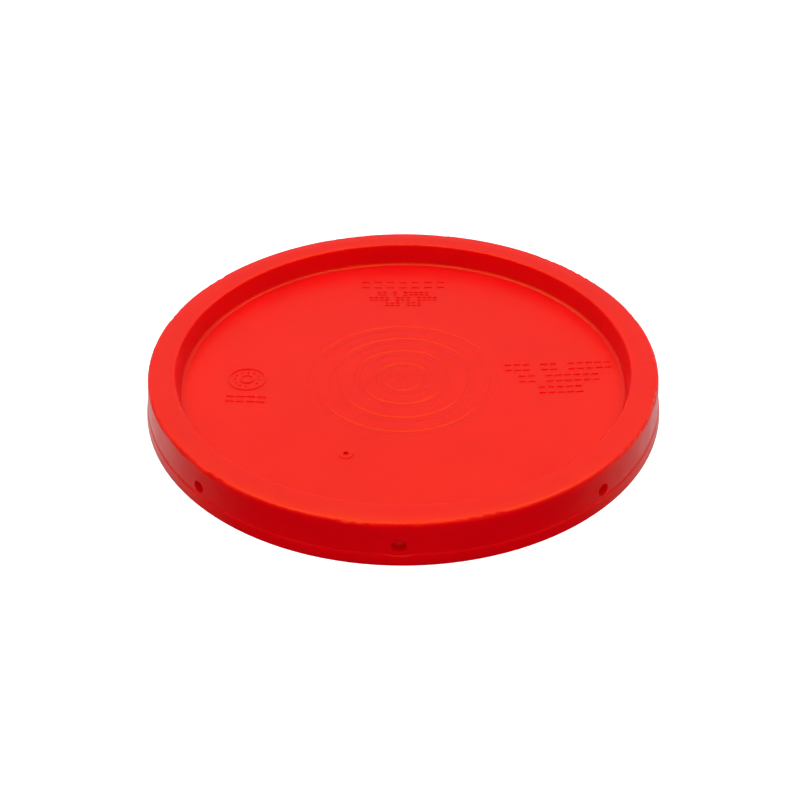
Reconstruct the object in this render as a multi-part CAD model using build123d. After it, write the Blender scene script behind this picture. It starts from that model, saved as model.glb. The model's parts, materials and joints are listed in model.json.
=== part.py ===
from build123d import *
import os

# ---------------------------------------------------------------------------
# Press-on pail lid: one moulding, and the gasket ring in its rim.
# Millimetres. The origin is on the lid's axis in the plane of its foot, so the
# lid stands rim-down on z = 0 with its panel facing +Z. Its front is at -Y.
# ---------------------------------------------------------------------------

# foot band: the flared lowest part of the skirt
BAND_RADIUS = 156.9
BAND_TOP_RADIUS = 155.8
BAND_INNER_RADIUS = 154.2
BAND_HEIGHT = 6.5  # at the ledge's outer corner
LEDGE_TOP = 7.5  # where the sloping ledge meets the upper skirt
LEDGE_ROUND = 1.0
FOOT_ROUND = 0.6

# upper skirt, which leans in a little from the band's ledge to the crown
SKIRT_FOOT_RADIUS = 155.2
SKIRT_TOP_RADIUS = 153.3
SKIRT_INNER_FOOT_RADIUS = 151.9
SKIRT_INNER_TOP_RADIUS = 151.2

# crown: a nearly flat ring, highest a little outside its middle
CROWN_EDGE_HEIGHT = 25.8
CROWN_TOP_RADIUS = 146.5
CROWN_TOP_HEIGHT = 25.9
CROWN_INNER_RADIUS = 137.3
CROWN_INNER_HEIGHT = 25.1
CROWN_EDGE_ROUND = 2.0
CROWN_TOP_ROUND = 40.0
CROWN_INNER_ROUND = 1.2
CHANNEL_ROOF_HEIGHT = 22.8

# plug wall: the cone between crown and panel that enters the pail's mouth
PLUG_FOOT_RADIUS = 135.3
PLUG_FOOT_ROUND = 2.2
PLUG_LAND_RADIUS = 138.5  # cylinder that centres in the pail's mouth
PLUG_LAND_TOP = 15.4
PLUG_ROOT_RADIUS = 140.2
PLUG_UNDER_ROUND = 1.6

# panel: a disc that sinks slightly towards its middle
PANEL_EDGE_HEIGHT = 11.1
PANEL_CENTRE_HEIGHT = 7.1
PANEL_THICKNESS = 2.2

# snap bead inside the skirt, which grips under the pail's rim
BEAD_RADIUS = 148.4
BEAD_BOTTOM = 10.8
BEAD_TOP = 12.8
BEAD_ROUND = 0.8
BEAD_SHOULDER = 15.8
LEAD_IN_BOTTOM = 3.2
LEAD_IN_ROUND = 1.5
CHANNEL_ROUND = 1.0

# rib on the channel's roof that keeps the gasket from spreading
RIB_INNER_RADIUS = 148.1
RIB_OUTER_RADIUS = 149.3
RIB_BOTTOM = 21.0
RIB_TIP_ROUND = 0.4
RIB_ROOT_ROUND = 0.3

# tear holes, where the skirt is cut to free the lid; the ledge dips in an arc below each
TEAR_HOLE_COUNT = 8
TEAR_HOLE_RADIUS = 3.8
TEAR_HOLE_HEIGHT = 11.8
TEAR_HOLE_FIRST_ANGLE = -90.6
DIP_INNER_RADIUS = 41.0  # of the dip's arc at the skirt's top radius
DIP_OUTER_RADIUS = 44.0  # and at the foot band's radius
DIP_CENTRE_HEIGHT = 49.0

# shallow ring grooves around the middle of the panel, flat-bottomed with sloping sides
GROOVE_COUNT = 4
GROOVE_FIRST_RADIUS = 14.4
GROOVE_PITCH = 13.87
GROOVE_WIDTH = 5.6
GROOVE_BOTTOM_WIDTH = 4.0
GROOVE_DEPTH = 0.3
GROOVE_EDGE_ROUND = 1.0
LAND_RISE = 0.12  # how far each land between two grooves bulges above the panel
LAND_FALL = 0.14  # how far its arc, drawn on to the grooves' middles, ends below the panel

# gate mark in the panel's centre, a dimple with a pip, and ejector button near the front
GATE_RADIUS = 3.4
GATE_PIP_RADIUS = 0.5
GATE_DEPTH = 0.15
BUTTON_RADIUS = 4.4
BUTTON_HEIGHT = 0.6
BUTTON_EDGE_ROUND = 0.25
BUTTON_PIT_RADIUS = 1.6
BUTTON_PIT_DEPTH = 1.5  # from the pad's top
BUTTON_DISTANCE = 82.3
BUTTON_ANGLE = -113.0

# plain raised marks on the panel: rows of short bars in two lines, and a dial
MARK_HEIGHT = 0.55
MARK_SINK = 0.5  # how far the marks' roots reach into the panel
# bar length, bar width, pitch along the row, distance between the two lines
LARGE_BARS = (4.2, 1.6, 5.6, 5.8)
WIDE_BARS = (5.2, 1.6, 8.6, 6.4)
CLOSE_BARS = (5.0, 1.6, 6.2, 5.0)
SMALL_BARS = (2.6, 1.1, 3.6, 3.0)
# the row's middle, its bars, and its places: "=" holds a pair and " " is empty
MARK_ROWS = [
    ((96.4, 10.8), LARGE_BARS, "=== == ====="),
    ((95.8, -1.4), LARGE_BARS, "== ======"),
    ((95.7, -13.5), LARGE_BARS, "====="),
    ((-0.2, 108.6), WIDE_BARS, "======="),
    ((-0.2, 97.9), SMALL_BARS, "== = ====="),
    ((-0.2, 91.5), SMALL_BARS, "==== === ===="),
    ((-0.2, 85.1), SMALL_BARS, "=== ==="),
    ((-94.6, -23.5), CLOSE_BARS, "===="),
]
DIAL_POSITION = (-95.9, -3.3)
DIAL_RINGS = ((11.6, 10.5), (4.4, 3.4))  # outer and inner radius of each line
DIAL_DOT_COUNT = 12
DIAL_DOT_RADIUS = 0.65
DIAL_DOT_DISTANCE = 7.5

# the turned surface's seam, kept clear of the tear holes and the marks
SEAM_ANGLE = 20.0

# gasket ring
GASKET_INNER_RADIUS = 140.9
GASKET_OUTER_RADIUS = 147.5
GASKET_TOP = CHANNEL_ROOF_HEIGHT - 0.3
GASKET_BOTTOM = GASKET_TOP - 4.2
GASKET_TOP_ROUND = 1.0
GASKET_BOTTOM_ROUND = 1.6
LIP_GROOVE_DEPTH = 0.6  # where the pail's lip rests
LIP_GROOVE_RADIUS = 3.0


def panel_height(radius):
    """Height of the dished panel's top surface at a radius."""
    sink = PANEL_EDGE_HEIGHT - PANEL_CENTRE_HEIGHT
    return PANEL_CENTRE_HEIGHT + sink * (radius / PLUG_FOOT_RADIUS) ** 2


def dish(edge_radius, drop):
    """The panel's curve from the axis to edge_radius, lowered by drop."""
    stations = (0.0, edge_radius / 2, edge_radius)
    return ThreePointArc(*[(r, panel_height(r) - drop) for r in stations])


def round_corner(section, corner, radius):
    """Rounds the corner of a flat section that is nearest to a point."""
    vertex = section.vertices().sort_by_distance(Vector(*corner))[0]
    return fillet(vertex, radius)


def turned(section):
    """A flat section, drawn with X as the radius and Y as the height, turned about Z."""
    return revolve(Plane.XZ * section, Axis.Z)


def lid_section():
    """Half of the moulding's cross-section, from its axis to the foot band."""
    top = dish(PLUG_FOOT_RADIUS, 0.0)
    underside = dish(PLUG_LAND_RADIUS, PANEL_THICKNESS)
    corners = [
        (top @ 1, PLUG_FOOT_ROUND),
        ((CROWN_INNER_RADIUS, CROWN_INNER_HEIGHT), CROWN_INNER_ROUND),
        ((CROWN_TOP_RADIUS, CROWN_TOP_HEIGHT), CROWN_TOP_ROUND),
        ((SKIRT_TOP_RADIUS, CROWN_EDGE_HEIGHT), CROWN_EDGE_ROUND),
        ((SKIRT_FOOT_RADIUS, LEDGE_TOP), LEDGE_ROUND),
        ((BAND_TOP_RADIUS, BAND_HEIGHT), LEDGE_ROUND),
        ((BAND_RADIUS, 0.0), FOOT_ROUND),
        ((BAND_INNER_RADIUS, 0.0), FOOT_ROUND),
        ((BAND_INNER_RADIUS, LEAD_IN_BOTTOM), LEAD_IN_ROUND),
        ((BEAD_RADIUS, BEAD_BOTTOM), BEAD_ROUND),
        ((BEAD_RADIUS, BEAD_TOP), BEAD_ROUND),
        ((SKIRT_INNER_FOOT_RADIUS, BEAD_SHOULDER), CHANNEL_ROUND),
        ((SKIRT_INNER_TOP_RADIUS, CHANNEL_ROOF_HEIGHT), CHANNEL_ROUND),
        ((RIB_OUTER_RADIUS, CHANNEL_ROOF_HEIGHT), RIB_ROOT_ROUND),
        ((RIB_OUTER_RADIUS, RIB_BOTTOM), RIB_TIP_ROUND),
        ((RIB_INNER_RADIUS, RIB_BOTTOM), RIB_TIP_ROUND),
        ((RIB_INNER_RADIUS, CHANNEL_ROOF_HEIGHT), RIB_ROOT_ROUND),
        ((PLUG_ROOT_RADIUS, CHANNEL_ROOF_HEIGHT), CHANNEL_ROUND),
        ((PLUG_LAND_RADIUS, PLUG_LAND_TOP), 0.0),
        (underside @ 1, PLUG_UNDER_ROUND),
    ]
    wall = Polyline(*[corner for corner, _ in corners])
    axis = Line(underside @ 0, top @ 0)
    section = make_face([*top.edges(), *wall.edges(), *underside.edges(), *axis.edges()])
    for corner, radius in corners:
        if radius:
            section = round_corner(section, corner, radius)
    return section


def groove_radii():
    return [GROOVE_FIRST_RADIUS + i * GROOVE_PITCH for i in range(GROOVE_COUNT)]


def with_grooves(section):
    """Domes the lands, cuts the ring grooves to the panel's slope and softens their edges."""
    radii = groove_radii()
    for inner, outer in zip(radii, radii[1:]):
        middle = (inner + outer) / 2
        stations = [(inner, -LAND_FALL), (middle, LAND_RISE), (outer, -LAND_FALL)]
        land = ThreePointArc(*[(r, panel_height(r) + rise) for r, rise in stations])
        section += make_face([*land.edges(), Line(land @ 1, land @ 0).edge()])
    half, half_bottom = GROOVE_WIDTH / 2, GROOVE_BOTTOM_WIDTH / 2
    flare = 2 * half - half_bottom  # where the sloping sides, drawn on upward, end above the panel
    stations = [(half_bottom, GROOVE_DEPTH), (half, 0.0), (flare, -GROOVE_DEPTH)]
    for radius in radii:
        right, left = [
            [(radius + side * x, panel_height(radius + side * x) - drop) for x, drop in stations]
            for side in (1, -1)
        ]
        section -= make_face(Polyline(*right, *reversed(left), close=True))
        for corner in (*right[:2], *left[:2]):
            section = round_corner(section, corner, GROOVE_EDGE_ROUND)
    return section


def turns(count, first_angle):
    """Turns about Z that repeat a tool at each of count places on a circle."""
    return [Rot(0, 0, first_angle + i * 360 / count) for i in range(count)]


def tear_hole_tools():
    """Holes through the skirt, and the dips in the ledge, which leave the skirt's own cone whole."""
    lean = (SKIRT_FOOT_RADIUS - SKIRT_TOP_RADIUS) / (CROWN_EDGE_HEIGHT - LEDGE_TOP)
    low_radius = SKIRT_FOOT_RADIUS + lean * LEDGE_TOP
    skirt_cone = Cone(
        low_radius,
        low_radius - lean * CROWN_TOP_HEIGHT,
        CROWN_TOP_HEIGHT,
        align=(Align.CENTER, Align.CENTER, Align.MIN),
    )
    outward = Rot(0, 90, 0)
    hole_length = BAND_RADIUS - BEAD_RADIUS + 4.0
    hole = Pos(BEAD_RADIUS - 2.0, 0, TEAR_HOLE_HEIGHT) * outward * Cylinder(
        TEAR_HOLE_RADIUS, hole_length, align=(Align.CENTER, Align.CENTER, Align.MIN)
    )
    dip = Pos(SKIRT_TOP_RADIUS, 0, DIP_CENTRE_HEIGHT) * outward * Cone(
        DIP_INNER_RADIUS,
        DIP_OUTER_RADIUS,
        BAND_RADIUS - SKIRT_TOP_RADIUS,
        align=(Align.CENTER, Align.CENTER, Align.MIN),
    )
    tool = (dip - skirt_cone) + hole
    return [turn * tool for turn in turns(TEAR_HOLE_COUNT, TEAR_HOLE_FIRST_ANGLE)]


def gate_mark():
    """The round dimple around the pip that the sprue leaves in the middle of the panel."""
    mark = Circle(GATE_RADIUS) - Circle(GATE_PIP_RADIUS)
    return extrude(Pos(0, 0, PANEL_CENTRE_HEIGHT - GATE_DEPTH) * mark, 2.0)


def button_place():
    return Rot(0, 0, BUTTON_ANGLE) * Pos(BUTTON_DISTANCE, 0, 0)


def ejector_button():
    """A low round pad."""
    base = panel_height(BUTTON_DISTANCE)
    pad = Cylinder(BUTTON_RADIUS, 1.0, align=(Align.CENTER, Align.CENTER, Align.MIN))
    pad = Pos(0, 0, base - 1.0 + BUTTON_HEIGHT) * pad
    top_edge = pad.edges().filter_by(GeomType.CIRCLE).sort_by(Axis.Z)[-1]
    pad = fillet(top_edge, BUTTON_EDGE_ROUND)
    return button_place() * pad


def button_pit():
    """The flat-bottomed pit in the pad, which goes on into the panel."""
    floor = panel_height(BUTTON_DISTANCE) + BUTTON_HEIGHT - BUTTON_PIT_DEPTH
    pit = Cylinder(BUTTON_PIT_RADIUS, 3.0, align=(Align.CENTER, Align.CENTER, Align.MIN))
    return button_place() * Pos(0, 0, floor) * pit


def mark_row(middle, bars, places):
    """The outlines of one row of bars, read from left to right."""
    length, width, pitch, spacing = bars
    start = -(len(places) - 1) / 2
    stations = [(start + i) * pitch for i, place in enumerate(places) if place == "="]
    lines = (-spacing / 2, spacing / 2)
    return [Pos(*middle) * Pos(x, y) * Rectangle(length, width) for x in stations for y in lines]


def dial():
    """Two plain rings with a ring of dots between them."""
    dot = Pos(DIAL_DOT_DISTANCE, 0) * Circle(DIAL_DOT_RADIUS)
    shapes = [Circle(outer) - Circle(inner) for outer, inner in DIAL_RINGS]
    shapes += [turn * dot for turn in turns(DIAL_DOT_COUNT, 0)]
    return [Pos(*DIAL_POSITION) * shape for shape in shapes]


def raised_marks():
    """The marks' outlines, raised to a constant height above the dished panel."""
    edge_radius = PLUG_FOOT_RADIUS - PLUG_FOOT_ROUND
    top = dish(edge_radius, -MARK_HEIGHT)
    bottom = dish(edge_radius, MARK_SINK)
    outline = [top, bottom, Line(top @ 0, bottom @ 0), Line(top @ 1, bottom @ 1)]
    layer = Rot(0, 0, SEAM_ANGLE) * turned(make_face(Wire([e for o in outline for e in o.edges()])))
    outlines = dial()
    for row in MARK_ROWS:
        outlines += mark_row(*row)
    return [layer & extrude(outline, CROWN_TOP_HEIGHT) for outline in outlines]


def make_lid():
    lid = Rot(0, 0, SEAM_ANGLE) * turned(with_grooves(lid_section()))
    lid += [ejector_button(), *raised_marks()]
    lid -= [gate_mark(), button_pit()]
    return lid - tear_hole_tools()


def make_gasket():
    """A soft ring, flat on top, with a hollow below for the pail's lip."""
    middle = (GASKET_INNER_RADIUS + GASKET_OUTER_RADIUS) / 2
    width = GASKET_OUTER_RADIUS - GASKET_INNER_RADIUS
    height = GASKET_TOP - GASKET_BOTTOM
    section = Pos(middle, (GASKET_TOP + GASKET_BOTTOM) / 2) * Rectangle(width, height)
    for radius in (GASKET_INNER_RADIUS, GASKET_OUTER_RADIUS):
        section = round_corner(section, (radius, GASKET_TOP), GASKET_TOP_ROUND)
        section = round_corner(section, (radius, GASKET_BOTTOM), GASKET_BOTTOM_ROUND)
    lip = Pos(middle, GASKET_BOTTOM + LIP_GROOVE_DEPTH - LIP_GROOVE_RADIUS)
    return turned(section - lip * Circle(LIP_GROOVE_RADIUS))


os.makedirs("parts", exist_ok=True)
for name, solid in {"lid": make_lid(), "gasket": make_gasket()}.items():
    export_step(solid, f"parts/{name}.step")
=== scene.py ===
import json
import math

import bpy
from mathutils import Matrix, Vector

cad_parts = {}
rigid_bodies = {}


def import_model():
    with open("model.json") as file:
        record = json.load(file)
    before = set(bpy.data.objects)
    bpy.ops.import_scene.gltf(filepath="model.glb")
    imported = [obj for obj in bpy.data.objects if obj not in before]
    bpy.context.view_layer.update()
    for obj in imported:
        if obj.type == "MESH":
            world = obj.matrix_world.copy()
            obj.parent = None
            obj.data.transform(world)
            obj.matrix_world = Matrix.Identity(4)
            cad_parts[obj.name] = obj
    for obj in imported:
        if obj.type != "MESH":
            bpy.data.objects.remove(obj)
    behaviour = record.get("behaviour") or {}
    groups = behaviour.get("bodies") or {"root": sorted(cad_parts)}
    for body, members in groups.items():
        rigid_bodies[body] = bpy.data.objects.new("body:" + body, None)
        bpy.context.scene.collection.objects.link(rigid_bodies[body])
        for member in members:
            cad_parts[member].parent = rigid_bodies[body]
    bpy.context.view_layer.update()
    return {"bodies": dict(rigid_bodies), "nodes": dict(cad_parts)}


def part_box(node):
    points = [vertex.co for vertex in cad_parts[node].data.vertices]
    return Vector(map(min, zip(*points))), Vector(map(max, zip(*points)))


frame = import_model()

# ---------------------------------------------------------------------------
# A press-on pail lid lying rim-down on a white studio floor. The CAD nodes are
# shown as they are; this script gives them their materials, the light and
# the camera. Metres, in the row frame: +Z up, the lid's front at -Y.
# ---------------------------------------------------------------------------

MM = 0.001
WHITE = (1.0, 1.0, 1.0, 1.0)

lid_low, lid_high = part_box("lid")
LID_RADIUS = (lid_high[0] - lid_low[0]) / 2

# red polyethylene
LID_RED = (0.80, 0.0006, 0.006, 1.0)
LID_MOTTLE = (0.97, 1.02)  # darkest and lightest patches
LID_ROUGHNESS = (0.29, 0.37)  # glossiest and dullest patches
LID_SHEEN_TINT = (1.0, 0.55, 0.03, 1.0)  # colour of its reflections seen face on
LID_GLOW_DEPTH = 5.0 * MM  # how far red light travels inside the plastic
LID_GLOW_SHARES = (1.0, 0.05, 0.08)  # of that depth, for red, green and blue light
LID_SWELL_DEPTH = 0.05 * MM
LID_GRAIN_DEPTH = 0.003 * MM

# gasket rubber
GASKET_WHITE = (0.74, 0.72, 0.66, 1.0)
GASKET_DUST = (0.94, 1.02)  # darkest and lightest patches
GASKET_ROUGHNESS = 0.62
GASKET_GRAIN_DEPTH = 0.03 * MM

# noise: patches per metre, and the levels at which a patch is at its extremes
MOTTLE_SCALE = 22.0
SCUFF_SCALE = 60.0
SWELL_SCALE = 90.0
LID_GRAIN_SCALE = 1100.0
DUST_SCALE = 300.0
GASKET_GRAIN_SCALE = 1800.0
LID_NOISE_LEVELS = (0.3, 0.7)
GASKET_NOISE_LEVELS = (0.35, 0.65)

# camera: in front of the lid, looking down at it
CAMERA_POSITION = (0.0020, -0.5904, 0.4255)
CAMERA_PITCH = math.radians(36.37)  # below the horizon
CAMERA_YAW = math.radians(0.38)
CAMERA_ROLL = math.radians(-0.25)
CAMERA_LENS = 52.67
CAMERA_SENSOR = 36.0

# floor
FLOOR_SIZE = 30.0
FLOOR_ALBEDO = (0.55, 0.55, 0.55, 1.0)
FLOOR_ROUGHNESS = 0.9
PAINTED_UNDER_GLOW = 0.25  # painted pool of red light on the floor below the lid, standing in for light come through it
PAINTED_UNDER_GLOW_EDGE = 3 * MM  # width over which that painted red gives way to white, below the lid's foot
PAINTED_MIRRORED_GLOW = 0.85  # painted glow of the floor beyond the lid, shown only in the lid's reflections
MIRRORED_BEHIND = -0.8  # Y of the direction back to the lid, where that glow is full
MIRRORED_FRONT = 0.4  # and where there is none

# studio: white walls behind and beside the lid, a dark room in front of it
BACK_LIGHT = 0.55
BACK_LIGHT_FROM = 0.25  # Y of the directions from which the room is at its brightest
FRONT_LIGHT = 0.06
FRONT_LIGHT_FROM = -0.85  # and at its dimmest

# area lights, all aimed at the middle of the lid's foot
LIGHT_TARGET = (0.0, 0.0, 0.0)
OVERHEAD_POSITION = (0.0, 0.05, 1.10)
OVERHEAD_SIZE = (1.6, 1.5)
OVERHEAD_LIGHT = 1.9
FILL_POSITION = (0.0, -1.6, 0.7)
FILL_SIZE = (1.6, 1.0)
FILL_LIGHT = 1.35


# --- node helpers -----------------------------------------------------------


class Graph:
    """Builds one node tree. Except for plug and node, a method adds a node and returns its
    output or outputs."""

    def __init__(self, tree):
        self.tree = tree

    def plug(self, value, socket):
        """Links an output to an input, or gives the input a plain value."""
        if isinstance(value, bpy.types.NodeSocket):
            self.tree.links.new(value, socket)
        else:
            socket.default_value = value

    def node(self, kind, inputs=None, **settings):
        """Adds a node and returns the node itself."""
        made = self.tree.nodes.new(kind)
        for key, value in settings.items():
            setattr(made, key, value)
        for key, value in (inputs or {}).items():
            self.plug(value, made.inputs[key])
        return made

    def coordinate(self, name):
        return self.node("ShaderNodeTexCoord").outputs[name]

    def light_path(self):
        return self.node("ShaderNodeLightPath").outputs

    def split(self, vector):
        return self.node("ShaderNodeSeparateXYZ", {"Vector": vector}).outputs

    def length(self, vector):
        made = self.node("ShaderNodeVectorMath", {0: vector}, operation="LENGTH")
        return made.outputs["Value"]

    def calculate(self, operation, first, second):
        made = self.node("ShaderNodeMath", {0: first, 1: second}, operation=operation)
        return made.outputs["Value"]

    def colour(self, red, green, blue):
        inputs = {"Red": red, "Green": green, "Blue": blue}
        return self.node("ShaderNodeCombineColor", inputs).outputs["Color"]

    def noise(self, scale, detail=2.0):
        inputs = {"Vector": self.coordinate("Object"), "Scale": scale, "Detail": detail}
        return self.node("ShaderNodeTexNoise", inputs).outputs["Fac"]

    def ramp(self, value, low, high, to_low=0.0, to_high=1.0):
        """A smooth step from to_low at low to to_high at high."""
        span = {"From Min": low, "From Max": high, "To Min": to_low, "To Max": to_high}
        inputs = {"Value": value, **span}
        made = self.node("ShaderNodeMapRange", inputs, interpolation_type="SMOOTHSTEP")
        return made.outputs["Result"]

    def tinted(self, colour, amount):
        """A colour made lighter or darker by amount, which is about 1."""
        # the colour sockets of a mix node are its inputs 6 and 7 and its output 2
        inputs = {0: 1.0, 6: colour, 7: self.colour(amount, amount, amount)}
        made = self.node("ShaderNodeMix", inputs, data_type="RGBA", blend_type="MULTIPLY")
        return made.outputs[2]

    def bump(self, height, distance, normal=None):
        inputs = {"Height": height, "Distance": distance}
        if normal is not None:
            inputs["Normal"] = normal
        return self.node("ShaderNodeBump", inputs).outputs["Normal"]

    def either(self, factor, first, second):
        """The first shader where factor is 0, the second where it is 1."""
        made = self.node("ShaderNodeMixShader", {0: factor, 1: first, 2: second})
        return made.outputs["Shader"]


def material(name):
    """A new material, its graph and the inputs of its surface shader."""
    made = bpy.data.materials.new(name)
    made.use_nodes = True
    return made, Graph(made.node_tree), made.node_tree.nodes["Principled BSDF"].inputs


def wear(node, finish):
    """Gives a CAD node its material."""
    mesh = frame["nodes"][node].data
    mesh.materials.clear()
    mesh.materials.append(finish)


# --- materials --------------------------------------------------------------


def polyethylene():
    """Moulded red polyethylene: satin, translucent, with faint flow mottling and grain."""
    made, g, surface = material("red_polyethylene")
    mottle = g.ramp(g.noise(MOTTLE_SCALE, detail=3.0), *LID_NOISE_LEVELS, *LID_MOTTLE)
    g.plug(g.tinted(LID_RED, mottle), surface["Base Color"])
    scuff = g.ramp(g.noise(SCUFF_SCALE, detail=4.0), *LID_NOISE_LEVELS, *LID_ROUGHNESS)
    g.plug(scuff, surface["Roughness"])
    swell = g.bump(g.noise(SWELL_SCALE, detail=1.0), LID_SWELL_DEPTH)
    grain = g.bump(g.noise(LID_GRAIN_SCALE), LID_GRAIN_DEPTH, normal=swell)
    g.plug(grain, surface["Normal"])
    g.plug(LID_SHEEN_TINT, surface["Specular Tint"])
    g.plug(1.0, surface["Subsurface Weight"])
    g.plug(LID_GLOW_SHARES, surface["Subsurface Radius"])
    g.plug(LID_GLOW_DEPTH, surface["Subsurface Scale"])
    return made


def food_rubber():
    """Off-white gasket rubber, matt and slightly powdery."""
    made, g, surface = material("gasket_rubber")
    dust = g.ramp(g.noise(DUST_SCALE, detail=3.0), *GASKET_NOISE_LEVELS, *GASKET_DUST)
    g.plug(g.tinted(GASKET_WHITE, dust), surface["Base Color"])
    g.plug(GASKET_ROUGHNESS, surface["Roughness"])
    g.plug(g.bump(g.noise(GASKET_GRAIN_SCALE), GASKET_GRAIN_DEPTH), surface["Normal"])
    return made


def studio_white():
    """The floor's finish. To the camera it is plain white round the lid, with no shadow, and
    has a painted dim red pool of light below it. In the lid's reflections it is a painted
    glow, dark in front and bright behind."""
    made, g, surface = material("floor_white")
    g.plug(FLOOR_ALBEDO, surface["Base Color"])
    g.plug(FLOOR_ROUGHNESS, surface["Roughness"])
    g.plug(0.0, surface["Specular IOR Level"])
    nodes = made.node_tree.nodes
    path = g.light_path()
    edge = (LID_RADIUS - PAINTED_UNDER_GLOW_EDGE, LID_RADIUS)
    distance = g.length(g.coordinate("Object"))
    outside = g.ramp(distance, *edge)
    # painted pool of red light on the floor below the lid, in the floor's emission
    painted_under_glow = g.ramp(distance, *edge, PAINTED_UNDER_GLOW, 0.0)

    def glow(brightness):
        """The colour of a glow that is white beyond the lid and a painted red pool of light
        below it.
        """
        white = g.calculate("MULTIPLY", brightness, outside)
        return g.colour(g.calculate("ADD", white, painted_under_glow), white, white)

    g.plug(glow(path["Is Camera Ray"]), surface["Emission Color"])
    g.plug(1.0, surface["Emission Strength"])

    # in reflections the floor is a painted glow, bright behind the lid and dark in front, not
    # its lit self
    geometry = g.node("ShaderNodeNewGeometry").outputs
    way_back = g.split(geometry["Incoming"])
    brightness = g.ramp(way_back["Y"], MIRRORED_BEHIND, MIRRORED_FRONT, PAINTED_MIRRORED_GLOW, 0.0)
    mirrored = g.node("ShaderNodeEmission", {"Color": glow(brightness), "Strength": 1.0})
    plain = nodes["Principled BSDF"].outputs["BSDF"]
    from_above = g.either(path["Is Glossy Ray"], plain, mirrored.outputs["Emission"])

    # from below it is clear, so that the lid's underside can be seen
    clear = g.node("ShaderNodeBsdfTransparent").outputs["BSDF"]
    shader = g.either(geometry["Backfacing"], from_above, clear)
    g.plug(shader, nodes["Material Output"].inputs["Surface"])
    return made


# --- the object -------------------------------------------------------------

wear("lid", polyethylene())
wear("gasket", food_rubber())


# --- studio -----------------------------------------------------------------


def make_floor():
    """A white floor. It rides with the gasket, so that the gasket has room to drop out of the
    lid and still lies above the floor."""
    half = FLOOR_SIZE / 2
    mesh = bpy.data.meshes.new("floor")
    corners = [(-half, -half, 0), (half, -half, 0), (half, half, 0), (-half, half, 0)]
    mesh.from_pydata(corners, [], [(0, 1, 2, 3)])
    mesh.materials.append(studio_white())
    floor = bpy.data.objects.new("floor", mesh)
    bpy.context.scene.collection.objects.link(floor)
    floor.parent = frame["bodies"]["gasket"]


def softbox(name, position, size, radiance, mirrored=True):
    """A rectangular area light of a given radiance. One that isn't mirrored only fills the
    shade and leaves no reflection."""
    width, depth = size
    light = bpy.data.lights.new(name, "AREA")
    light.shape = "RECTANGLE"
    light.size = width
    light.size_y = depth
    light.energy = radiance * math.pi * width * depth
    lamp = bpy.data.objects.new(name, light)
    bpy.context.scene.collection.objects.link(lamp)
    lamp.location = position
    aim = Vector(LIGHT_TARGET) - Vector(position)
    lamp.rotation_euler = aim.to_track_quat("-Z", "Y").to_euler()
    lamp.visible_camera = False
    lamp.visible_glossy = mirrored


def make_world():
    """White room light, bright behind and beside the lid and dim in front of it. To the
    camera the background itself is plain white."""
    world = bpy.data.worlds.new("studio")
    bpy.context.scene.world = world
    world.use_nodes = True
    background = world.node_tree.nodes["Background"].inputs
    g = Graph(world.node_tree)
    direction = g.split(g.coordinate("Generated"))
    room = g.ramp(direction["Y"], FRONT_LIGHT_FROM, BACK_LIGHT_FROM, FRONT_LIGHT, BACK_LIGHT)
    seen = g.light_path()["Is Camera Ray"]
    shown = g.node("ShaderNodeMix", {"Factor": seen, "A": room, "B": 1.0})
    g.plug(shown.outputs["Result"], background["Strength"])
    g.plug(WHITE, background["Color"])


def make_camera():
    camera = bpy.data.cameras.new("camera")
    camera.lens = CAMERA_LENS
    camera.sensor_width = CAMERA_SENSOR
    holder = bpy.data.objects.new("camera", camera)
    bpy.context.scene.collection.objects.link(holder)
    turn = (
        Matrix.Rotation(CAMERA_YAW, 4, "Z")
        @ Matrix.Rotation(math.pi / 2 - CAMERA_PITCH, 4, "X")
        @ Matrix.Rotation(CAMERA_ROLL, 4, "Z")
    )
    holder.matrix_world = Matrix.Translation(CAMERA_POSITION) @ turn
    bpy.context.scene.camera = holder


make_floor()
make_world()
softbox("overhead", OVERHEAD_POSITION, OVERHEAD_SIZE, OVERHEAD_LIGHT)
softbox("front_fill", FILL_POSITION, FILL_SIZE, FILL_LIGHT, mirrored=False)
make_camera()

view = bpy.context.scene.view_settings
view.view_transform = "Standard"
view.look = "None"
